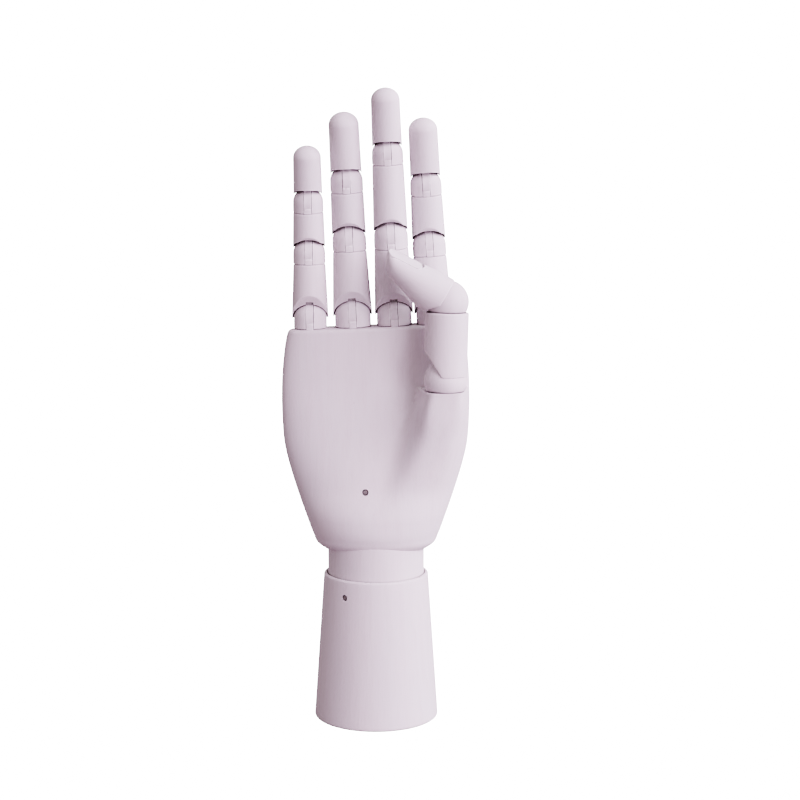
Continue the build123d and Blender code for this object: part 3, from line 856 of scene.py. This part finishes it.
def build_palm():
    rings = palm_rings()
    local = (np.zeros(3), np.eye(3))
    piece = skin("palm_block", rings, PALM_BOTTOM, PALM_BOTTOM + PALM_HEIGHT, local)
    saws = []
    for finger, (balls, _, _) in FINGERS.items():
        hinge = np.array(JOINTS[f"{finger}_root"]["pos_m"]) / MM
        axis = unit(JOINTS[f"{finger}_root"]["axis"])
        saws.append(slot_disc(axes_at(hinge, axis, (-axis[2], 0, axis[0])), balls[0]))
    hinge = np.array(JOINTS["thumb_root"]["pos_m"]) / MM
    saws.append(slot_disc(axes_at(hinge, (0, -1, 0), (0, 0, 1)), THUMB_BALL))
    nail_line = axes_at((PALM_NAIL_OFFSET, 0, PALM_NAIL_HEIGHT), (1, 0, 0), (0, -1, 0))
    saws.append(bar("drill", nail_line, NAIL_HOLE_RADIUS, PALM_NAIL_DEPTH, PALM_DEPTH + 5))
    cut_away(piece, saws)
    finish_piece(piece, "palm", WOOD)


def level_line(degrees, height):
    """A frame at a height on the hand's axis, whose z points out, some degrees right of
    the front."""
    turn = radians(degrees)
    return axes_at((0, 0, height), (cos(turn), sin(turn), 0), (sin(turn), -cos(turn), 0))


def build_wrist():
    upright = (np.zeros(3), np.eye(3))
    floor = BASE_HEIGHT - COLLAR_SEAT_DEPTH
    bore_floor = floor - PLUG_LENGTH - PLUG_END_GAP
    foot, rim = BASE_FOOT_ROUND, BASE_RIM_ROUND

    def wall(z):
        return BASE_FOOT_RADIUS + (BASE_TOP_RADIUS - BASE_FOOT_RADIUS) * z / BASE_HEIGHT
    profile = [(0, 0)]
    profile += rounded((BASE_FOOT_RADIUS - foot, 0), (BASE_FOOT_RADIUS, 0), (wall(foot), foot), 6)
    profile += [(wall(z), z) for z in np.linspace(foot, BASE_HEIGHT - rim, 40)[1:-1]]
    shoulder = (wall(BASE_HEIGHT - rim), BASE_HEIGHT - rim)
    lip = (COLLAR_SEAT_RADIUS + SEAT_CHAMFER, BASE_HEIGHT)
    profile += rounded(shoulder, (BASE_TOP_RADIUS, BASE_HEIGHT), lip, 6)
    profile += [(COLLAR_SEAT_RADIUS, BASE_HEIGHT - SEAT_CHAMFER), (COLLAR_SEAT_RADIUS, floor)]
    profile += [(PLUG_BORE_RADIUS, floor), (PLUG_BORE_RADIUS, bore_floor), (0, bore_floor)]
    base = turned_piece("wrist_base_wood", profile, upright, WRIST_ROUND)
    nail_line = level_line(BASE_NAIL_TURN, GROOVE_HEIGHT)
    face = wall(GROOVE_HEIGHT) - NAIL_HOLE_DEPTH
    cut_away(base, [bar("drill", nail_line, NAIL_HOLE_RADIUS, face, face + 6)])
    nick = (COLLAR_SEAT_RADIUS + 0.4, BASE_TOP_RADIUS + 2, 9)
    lines = [(level_line(angle, BASE_HEIGHT), size) for angle, size in RIM_NICKS]
    cut_away(base, [bar("nick", line, size, *nick) for line, size in lines])
    finish_piece(base, "wrist_base", BASE_WOOD)
    low = GROOVE_HEIGHT - GROOVE_WIDTH / 2
    high = GROOVE_HEIGHT + GROOVE_WIDTH / 2
    inner = PLUG_RADIUS - GROOVE_DEPTH
    foot = floor - PLUG_LENGTH
    chamfer = PLUG_CHAMFER
    profile = [(0, foot), (PLUG_RADIUS - chamfer, foot), (PLUG_RADIUS, foot + chamfer)]
    profile += [(PLUG_RADIUS, low), (inner, low), (inner, high), (PLUG_RADIUS, high)]
    profile += [(PLUG_RADIUS, floor), (COLLAR_RADIUS - COLLAR_CHAMFER, floor)]
    profile += [(COLLAR_RADIUS, floor + COLLAR_CHAMFER)]
    profile += [(COLLAR_RADIUS, z) for z in np.linspace(floor + 1, COLLAR_TOP, 14)]
    profile += [(DOWEL_RADIUS, COLLAR_TOP), (DOWEL_RADIUS, DOWEL_TOP - chamfer)]
    profile += [(DOWEL_RADIUS - chamfer, DOWEL_TOP), (0, DOWEL_TOP)]
    plug = turned_piece("wrist_plug_wood", profile, upright, WRIST_ROUND)
    finish_piece(plug, "wrist_plug", WOOD)


def add_camera():
    """The photograph's view of the hand."""
    data = bpy.data.cameras.new("photo_camera")
    data.lens = CAMERA_LENS
    data.sensor_width = 36.0
    camera = bpy.data.objects.new("photo_camera", data)
    camera.location = CAMERA_PLACE
    camera.rotation_euler = [radians(a) for a in CAMERA_TURN]
    bpy.context.scene.collection.objects.link(camera)
    bpy.context.scene.camera = camera


def add_lamp(name, side, height, power, colour):
    """A soft square lamp aimed at the hand."""
    side, height = radians(side), radians(height)
    way = Vector((sin(side) * cos(height), -cos(side) * cos(height), sin(height)))
    data = bpy.data.lights.new(name, "AREA")
    data.size = LAMP_SIZE
    data.energy = power
    data.color = colour
    lamp = bpy.data.objects.new(name, data)
    lamp.location = Vector(LAMP_TARGET) + way * LAMP_DISTANCE
    lamp.rotation_euler = (-way).to_track_quat("-Z", "Y").to_euler()
    bpy.context.scene.collection.objects.link(lamp)


def add_surround():
    """A weak warm light from all round, in front of a white background."""
    world = bpy.data.worlds.new("studio")
    bpy.context.scene.world = world
    world.use_nodes = True
    tree = world.node_tree
    surround = tree.nodes["Background"]
    surround.inputs["Color"].default_value = SURROUND_COLOUR
    surround.inputs["Strength"].default_value = SURROUND_STRENGTH
    backdrop = tree.nodes.new("ShaderNodeBackground")
    backdrop.inputs["Strength"].default_value = BACKDROP_STRENGTH
    seen = tree.nodes.new("ShaderNodeLightPath")
    mix = tree.nodes.new("ShaderNodeMixShader")
    tree.links.new(seen.outputs["Is Camera Ray"], mix.inputs[0])
    tree.links.new(surround.outputs[0], mix.inputs[1])
    tree.links.new(backdrop.outputs[0], mix.inputs[2])
    tree.links.new(mix.outputs[0], tree.nodes["World Output"].inputs["Surface"])


def add_floor():
    """A plain white floor under the base, bright enough to meet the background."""
    mesh = bpy.data.meshes.new("floor")
    mesh.from_pydata([(-4, -4, 0), (4, -4, 0), (4, 4, 0), (-4, 4, 0)], [], [(0, 1, 2, 3)])
    floor = add_object("floor", mesh)
    material = bpy.data.materials.new("floor")
    material.use_nodes = True
    tree = material.node_tree
    shader = tree.nodes["Principled BSDF"]
    shader.inputs["Base Color"].default_value = FLOOR_COLOUR
    shader.inputs["Roughness"].default_value = 0.9
    bounce = tree.nodes.new("ShaderNodeBsdfDiffuse")
    bounce.inputs["Color"].default_value = FLOOR_BOUNCE
    glow = tree.nodes.new("ShaderNodeEmission")
    glow.inputs["Strength"].default_value = FLOOR_GLOW
    seen = tree.nodes.new("ShaderNodeLightPath")
    mix = tree.nodes.new("ShaderNodeMixShader")
    both = tree.nodes.new("ShaderNodeAddShader")
    tree.links.new(shader.outputs[0], both.inputs[0])
    tree.links.new(glow.outputs[0], both.inputs[1])
    tree.links.new(seen.outputs["Is Camera Ray"], mix.inputs[0])
    tree.links.new(bounce.outputs[0], mix.inputs[1])
    tree.links.new(both.outputs[0], mix.inputs[2])
    tree.links.new(mix.outputs[0], tree.nodes["Material Output"].inputs["Surface"])
    mesh.materials.append(material)


def add_node(tree, kind, inputs=None, **settings):
    """A shader node: each input is a value or the socket that feeds it."""
    made = tree.nodes.new("ShaderNode" + kind)
    for key, value in settings.items():
        setattr(made, key, value)
    for key, value in (inputs or {}).items():
        if isinstance(value, bpy.types.NodeSocket):
            tree.links.new(value, made.inputs[key])
        else:
            made.inputs[key].default_value = value
    return made


def mixed(tree, share, first, second):
    """A colour between two others."""
    return add_node(tree, "Mix", {0: share, 6: first, 7: second}, data_type="RGBA").outputs[2]


def ranged(tree, value, low, high, least=0.0, most=1.0):
    """The value eased from one range to another."""
    sockets = ("Value", "From Min", "From Max", "To Min", "To Max")
    inputs = dict(zip(sockets, (value, low, high, least, most)))
    return add_node(tree, "MapRange", inputs, interpolation_type="SMOOTHSTEP").outputs[0]


def maths(tree, operation, first, second):
    return add_node(tree, "Math", {0: first, 1: second}, operation=operation).outputs[0]


def plain_noise(tree, vector, scale, detail):
    inputs = {"Vector": vector, "Scale": scale, "Detail": detail}
    return add_node(tree, "TexNoise", inputs).outputs[0]


def stretched_noise(tree, vector, stretch, scale, detail=3.0):
    """Noise whose spots are drawn out along the grain."""
    laid = add_node(tree, "Mapping", {"Vector": vector, "Scale": stretch}).outputs[0]
    return plain_noise(tree, laid, scale, detail)


def effect(name, inputs, outputs):
    """An empty shader node group with the sockets named."""
    tree = bpy.data.node_groups.new(name, "ShaderNodeTree")
    for key, kind in inputs.items():
        tree.interface.new_socket(name=key, in_out="INPUT", socket_type=kind)
    for key in outputs:
        tree.interface.new_socket(name=key, in_out="OUTPUT", socket_type="NodeSocketFloat")
    return tree, tree.nodes.new("NodeGroupInput"), tree.nodes.new("NodeGroupOutput")


def brushed_paint_effect():
    """Grain that shows through the paint, strokes of the brush, and slow changes of tone."""
    inputs = {"Vector": "NodeSocketVector"}
    tree, given, result = effect("brushed_paint", inputs, PAINT_NOISES)
    for key, (stretch, scale, detail) in PAINT_NOISES.items():
        noise = stretched_noise(tree, given.outputs[0], stretch, scale, detail)
        tree.links.new(noise, result.inputs[key])
    return tree


def wear_and_painted_light_effect():
    """Edges rubbed pale with a painted highlight, chips along them, and painted shade in the crevices.

    An edge is where the normal rounded over the reach differs from the surface's own."""
    number = "NodeSocketFloat"
    inputs = {"Vector": "NodeSocketVector", "Reach": number, "Chips": number}
    tree, given, result = effect("wear_and_painted_light", inputs, ("EdgeWearAndHighlight", "Chip", "CreviceShade"))
    vector, reach, chips = given.outputs[:3]
    # Edge mask: wear on edges and a painted highlight along rims
    rounded_normal = add_node(tree, "Bevel", {"Radius": reach}, samples=6).outputs[0]
    own_normal = add_node(tree, "NewGeometry").outputs["Normal"]
    normals = {0: rounded_normal, 1: own_normal}
    both = add_node(tree, "VectorMath", normals, operation="DOT_PRODUCT")
    bend = ranged(tree, both.outputs["Value"], 0.998, 0.955)
    # Crevice mask from ambient occlusion: painted shade in seats, slots, sockets and holes
    around_it = add_node(tree, "AmbientOcclusion", {"Distance": CREVICE_SHADE_REACH}, samples=8)
    crevice_shade = ranged(tree, around_it.outputs["AO"], 0.70, 0.22)
    rubbed = plain_noise(tree, vector, 420.0, 3.0)
    edge = maths(tree, "MULTIPLY", bend, ranged(tree, rubbed, 0.30, 0.62))
    edge = maths(tree, "MULTIPLY", edge, maths(tree, "SUBTRACT", 1.0, crevice_shade))
    spots = plain_noise(tree, vector, 760.0, 2.0)
    chip = maths(tree, "MULTIPLY", bend, ranged(tree, spots, 0.66, 0.70))
    chip = maths(tree, "MULTIPLY", chip, chips)
    for key, value in (("EdgeWearAndHighlight", edge), ("Chip", chip), ("CreviceShade", crevice_shade)):
        tree.links.new(value, result.inputs[key])
    return tree


BRUSHED_PAINT = brushed_paint_effect()
WEAR_AND_PAINTED_LIGHT = wear_and_painted_light_effect()


def painted(name, lean=0.0, chips=0.3, sheen=0.0):
    """Matte pale paint brushed on wood along its grain, which leans by some degrees in the
    hand's plane from straight up."""
    material = bpy.data.materials.new(name)
    material.use_nodes = True
    tree = material.node_tree
    place = add_node(tree, "TexCoord").outputs["Object"]
    leaning = {"Vector": place, "Rotation": (0, -radians(lean), 0)}
    along = add_node(tree, "Mapping", leaning).outputs[0]
    paint = add_node(tree, "Group", node_tree=BRUSHED_PAINT)
    tree.links.new(along, paint.inputs["Vector"])
    wear_and_light = add_node(tree, "Group", node_tree=WEAR_AND_PAINTED_LIGHT)
    tree.links.new(place, wear_and_light.inputs["Vector"])
    wear_and_light.inputs["Reach"].default_value = WEAR_REACH
    wear_and_light.inputs["Chips"].default_value = chips
    colour = mixed(tree, ranged(tree, paint.outputs["Tone"], 0.3, 0.7), PAINT_WARM, PAINT_COOL)
    for noise, low, high, most, layer in PAINT_LAYERS:
        share = ranged(tree, paint.outputs[noise], low, high, 0.0, most)
        colour = mixed(tree, share, colour, layer)
    # Painted shade darkens the crevices, then edges are lightened by wear and by a painted highlight
    for mask, most, layer in (("CreviceShade", 0.95, CREVICE_PAINTED_SHADE), ("EdgeWearAndHighlight", 0.85, PAINT_WORN_AND_HIGHLIGHT)):
        colour = mixed(tree, maths(tree, "MULTIPLY", wear_and_light.outputs[mask], most), colour, layer)
    colour = mixed(tree, wear_and_light.outputs["Chip"], colour, BARE_WOOD)
    shader = tree.nodes["Principled BSDF"]
    tree.links.new(colour, shader.inputs["Base Color"])
    rough = ranged(tree, paint.outputs["Strokes"], 0.3, 0.7, 0.60 - sheen, 0.74 - sheen)
    rough = maths(tree, "SUBTRACT", rough, maths(tree, "MULTIPLY", wear_and_light.outputs["EdgeWearAndHighlight"], 0.12))
    tree.links.new(rough, shader.inputs["Roughness"])
    ridges = maths(tree, "MULTIPLY", paint.outputs["Strokes"], 1.6)
    height = maths(tree, "ADD", paint.outputs["Grain"], ridges)
    height = maths(tree, "SUBTRACT", height, maths(tree, "MULTIPLY", wear_and_light.outputs["Chip"], 1.5))
    relief = {"Strength": 0.35, "Distance": PAINT_RELIEF, "Height": height}
    tree.links.new(add_node(tree, "Bump", relief).outputs[0], shader.inputs["Normal"])
    shader.inputs["Specular IOR Level"].default_value = 0.35
    return material


def nail_steel():
    """Dull steel with file marks and a little rust."""
    material = bpy.data.materials.new("nail_steel")
    material.use_nodes = True
    tree = material.node_tree
    place = add_node(tree, "TexCoord").outputs["Object"]
    rust = plain_noise(tree, place, 1900.0, 4.0)
    marks = stretched_noise(tree, place, (1.0, 0.12, 1.0), 5200.0)
    rusty = ranged(tree, rust, 0.52, 0.66)
    colour = mixed(tree, ranged(tree, marks, 0.3, 0.7), STEEL_DARK, STEEL_PALE)
    colour = mixed(tree, maths(tree, "MULTIPLY", rusty, 0.6), colour, RUST)
    shader = tree.nodes["Principled BSDF"]
    tree.links.new(colour, shader.inputs["Base Color"])
    tree.links.new(ranged(tree, rusty, 0.0, 1.0, 0.95, 0.35), shader.inputs["Metallic"])
    tree.links.new(ranged(tree, rust, 0.3, 0.7, 0.36, 0.68), shader.inputs["Roughness"])
    relief = {"Strength": 0.4, "Distance": STEEL_RELIEF, "Height": marks}
    tree.links.new(add_node(tree, "Bump", relief).outputs[0], shader.inputs["Normal"])
    return material


WOOD = painted("painted_wood")
BASE_WOOD = painted("painted_base", chips=1.0)
THUMB_WOOD = tuple(painted(f"painted_thumb_{i + 1}", lean) for i, lean in enumerate(THUMB_LEANS))
TONGUE_PAINT = painted("painted_tongue", chips=0.15, sheen=0.12)
STEEL = nail_steel()

for finger, (balls, tip_length, tip_bend) in FINGERS.items():
    build_finger(finger, balls, tip_length, tip_bend)
build_thumb()
build_palm()
build_wrist()
for node in ("swivel_nail", "palm_nail", *(n for n in BODY_OF if "_pin" in n)):
    for slot in frame["nodes"][node].material_slots:
        slot.link = "OBJECT"
        slot.material = STEEL

add_camera()
add_floor()
for name, lamp in LAMPS.items():
    add_lamp(name, *lamp)
add_surround()
